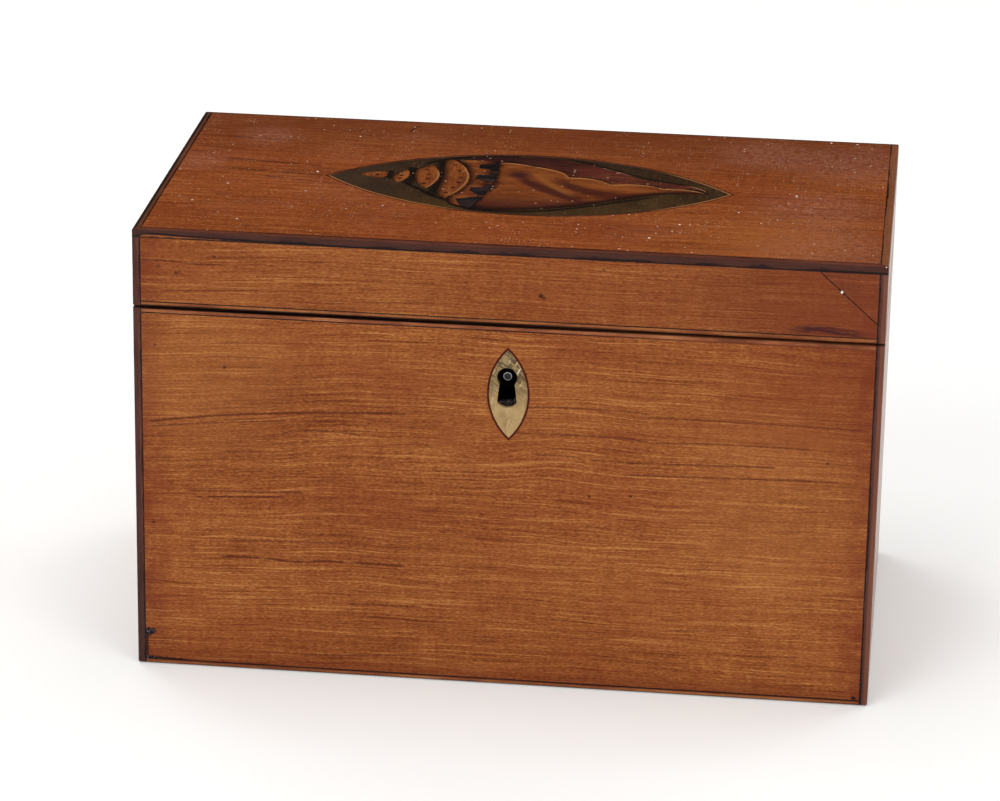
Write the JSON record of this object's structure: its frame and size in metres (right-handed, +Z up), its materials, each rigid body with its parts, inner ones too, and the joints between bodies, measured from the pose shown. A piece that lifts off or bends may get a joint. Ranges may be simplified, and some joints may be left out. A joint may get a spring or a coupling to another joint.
{
  "type": "document box",
  "caption": "Rectangular veneered wooden box with a hinged lid, an inlaid shell oval in its top, corner stringing and a box lock.",
  "frame": {"origin": "centre of the case's underside, on the surface that it stands on", "axes": "+X along the front to the viewer's right, +Y from front to back, +Z up"},
  "size_m": [0.19, 0.1062, 0.119],
  "materials": {
    "bone": "polished, aged",
    "boxwood_string": "polished",
    "brass": "aged",
    "ebonised_wood": "polished",
    "faded_string": "polished",
    "harewood": "polished",
    "lining_paper": "matt",
    "lock_steel": "filed, tarnished",
    "mahogany": "bare, aged",
    "pine": "bare, aged",
    "purpleheart_string": "polished",
    "rosewood": "polished",
    "satinwood_veneer": "french-polished",
    "shaded_satinwood": "polished"
  },
  "bodies": {
    "case": {"back_board": "mahogany", "base_edging": "boxwood_string", "base_line": "ebonised_wood", "bolt_stumps": "lock_steel", "bottom_board": "pine", "bottom_brads": "lock_steel", "case_back_veneer": "satinwood_veneer", "case_corner_strings": "purpleheart_string", "case_front_veneer": "satinwood_veneer", "case_left_veneer": "satinwood_veneer", "case_right_veneer": "satinwood_veneer", "case_rim_edging": "boxwood_string", "case_rim_line": "ebonised_wood", "drill_pin": "lock_steel", "escutcheon": "bone", "floor_paper": "lining_paper", "front_board": "mahogany", "hinge_pins": "brass", "left_board": "mahogany", "lock_cap": "lock_steel", "lock_plate": "brass", "lock_rivets": "lock_steel", "lock_screws": "brass", "lower_hinge_leaf_left": "brass", "lower_hinge_leaf_right": "brass", "lower_hinge_screws": "brass", "right_board": "mahogany", "wall_papers": "lining_paper"},
    "lid": {"lid_front_rail": "mahogany", "lid_back_rail": "mahogany", "lid_left_rail": "mahogany", "lid_right_rail": "mahogany", "lid_top_board": "mahogany", "lid_top_veneer": "satinwood_veneer", "lid_front_veneer": "satinwood_veneer", "lid_front_patch": "satinwood_veneer", "lid_back_veneer": "satinwood_veneer", "lid_left_veneer": "satinwood_veneer", "lid_right_veneer": "satinwood_veneer", "lid_corner_strings": "purpleheart_string", "top_front_string": "purpleheart_string", "top_side_strings": "faded_string", "top_back_string": "purpleheart_string", "lid_rim_edging": "boxwood_string", "lid_rim_line": "ebonised_wood", "inlay_string": "boxwood_string", "inlay_ground": "harewood", "shell_whorls": "shaded_satinwood", "shell_crown": "shaded_satinwood", "shell_slips": "ebonised_wood", "shell_body": "shaded_satinwood", "shell_lip": "rosewood", "link_plate": "brass", "link_screws": "brass", "upper_hinge_leaf_left": "brass", "upper_hinge_leaf_right": "brass", "upper_hinge_screws": "brass", "lid_papers": "lining_paper"},
    "bolt": {"lock_bolt": "lock_steel", "bolt_spring": "lock_steel"}
  },
  "joints": [
    {"name": "lid_hinge", "type": "hinge", "parent": "case", "child": "lid", "pos_m": [0, 0.0515, 0.09842], "axis": [-1, 0, 0], "range_deg": [0, 100]},
    {"name": "bolt_slide", "type": "slide", "parent": "case", "child": "bolt", "axis": [1, 0, 0], "range_m": [0, 0.0026]}
  ]
}
